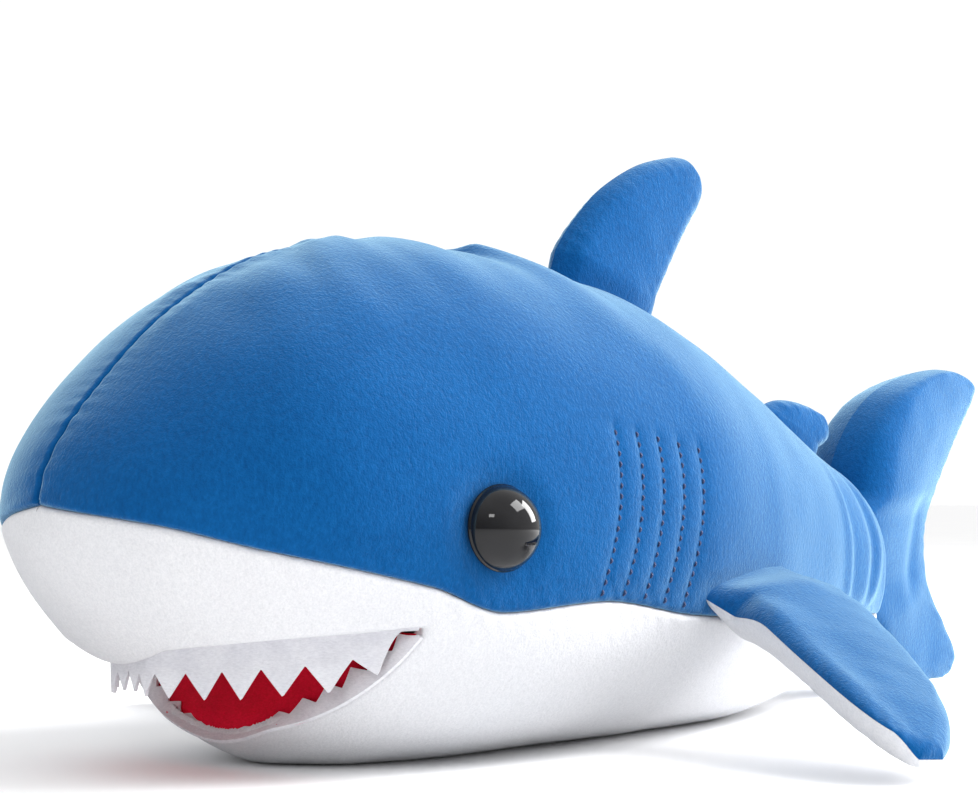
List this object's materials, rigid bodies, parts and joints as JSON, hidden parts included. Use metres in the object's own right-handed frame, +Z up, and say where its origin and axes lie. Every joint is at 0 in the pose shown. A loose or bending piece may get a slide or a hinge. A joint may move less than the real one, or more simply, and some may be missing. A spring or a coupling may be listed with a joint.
{
  "type": "plush shark",
  "caption": "Stuffed plush shark with blue back, white belly, open red-lined mouth with felt teeth, domed eyes and fins that flex at their roots.",
  "frame": {"origin": "middle of the toy's length and width on the flat of the belly, where it rests on the floor", "axes": "+Y from nose to tail, +Z up, +X to the toy's left side"},
  "size_m": [0.431, 0.599, 0.2541],
  "materials": {
    "blue_plush": "short velvety pile",
    "white_plush": "short velvety pile",
    "red_lining": "flat felt lining",
    "white_felt": "flat pressed felt",
    "black_eye": "polished dome",
    "washer_plastic": "moulded lock washer",
    "navy_thread": "twisted sewing thread",
    "fibre_fill": "loose polyester fill"
  },
  "bodies": {
    "body": {"back_panel_left": "blue_plush", "back_panel_right": "blue_plush", "snout_panel": "white_plush", "belly_panel": "white_plush", "palate_lining": "red_lining", "tongue_lining": "red_lining", "upper_teeth": "white_felt", "lower_teeth": "white_felt", "body_stuffing": "fibre_fill", "jaw_stuffing": "fibre_fill", "eye_left": "black_eye", "eye_right": "black_eye", "eye_washer_left": "washer_plastic", "eye_washer_right": "washer_plastic", "gill_stitches_left": "navy_thread", "gill_stitches_right": "navy_thread"},
    "pectoral_left": {"pectoral_left_top": "blue_plush", "pectoral_left_bottom": "white_plush", "pectoral_left_stuffing": "fibre_fill"},
    "pectoral_right": {"pectoral_right_top": "blue_plush", "pectoral_right_bottom": "white_plush", "pectoral_right_stuffing": "fibre_fill"},
    "dorsal": {"dorsal_left": "blue_plush", "dorsal_right": "blue_plush", "dorsal_stuffing": "fibre_fill"},
    "second_dorsal": {"second_dorsal_left": "blue_plush", "second_dorsal_right": "blue_plush", "second_dorsal_stuffing": "fibre_fill"},
    "tail": {"tail_left": "blue_plush", "tail_right": "blue_plush", "tail_stuffing": "fibre_fill"}
  },
  "joints": [
    {"name": "pectoral_left_flap", "type": "hinge", "parent": "body", "child": "pectoral_left", "pos_m": [0.11267, -0.057, 0.053], "axis": [0, -1, 0], "range_deg": [-2, 55], "stiffness_Nm_per_rad": 0.25},
    {"name": "pectoral_right_flap", "type": "hinge", "parent": "body", "child": "pectoral_right", "pos_m": [-0.11267, -0.057, 0.053], "axis": [0, 1, 0], "range_deg": [-2, 55], "stiffness_Nm_per_rad": 0.25},
    {"name": "dorsal_lean", "type": "hinge", "parent": "body", "child": "dorsal", "pos_m": [0, -0.03583, 0.20508], "axis": [0, 0.9426, -0.3338], "range_deg": [-35, 35], "stiffness_Nm_per_rad": 0.2},
    {"name": "second_dorsal_lean", "type": "hinge", "parent": "body", "child": "second_dorsal", "pos_m": [0, 0.10665, 0.14121], "axis": [0, 0.9256, -0.3785], "range_deg": [-30, 30], "stiffness_Nm_per_rad": 0.05},
    {"name": "tail_swing", "type": "hinge", "parent": "body", "child": "tail", "pos_m": [0, 0.186, 0.07], "axis": [0, 0, 1], "range_deg": [-30, 30], "stiffness_Nm_per_rad": 0.8}
  ]
}
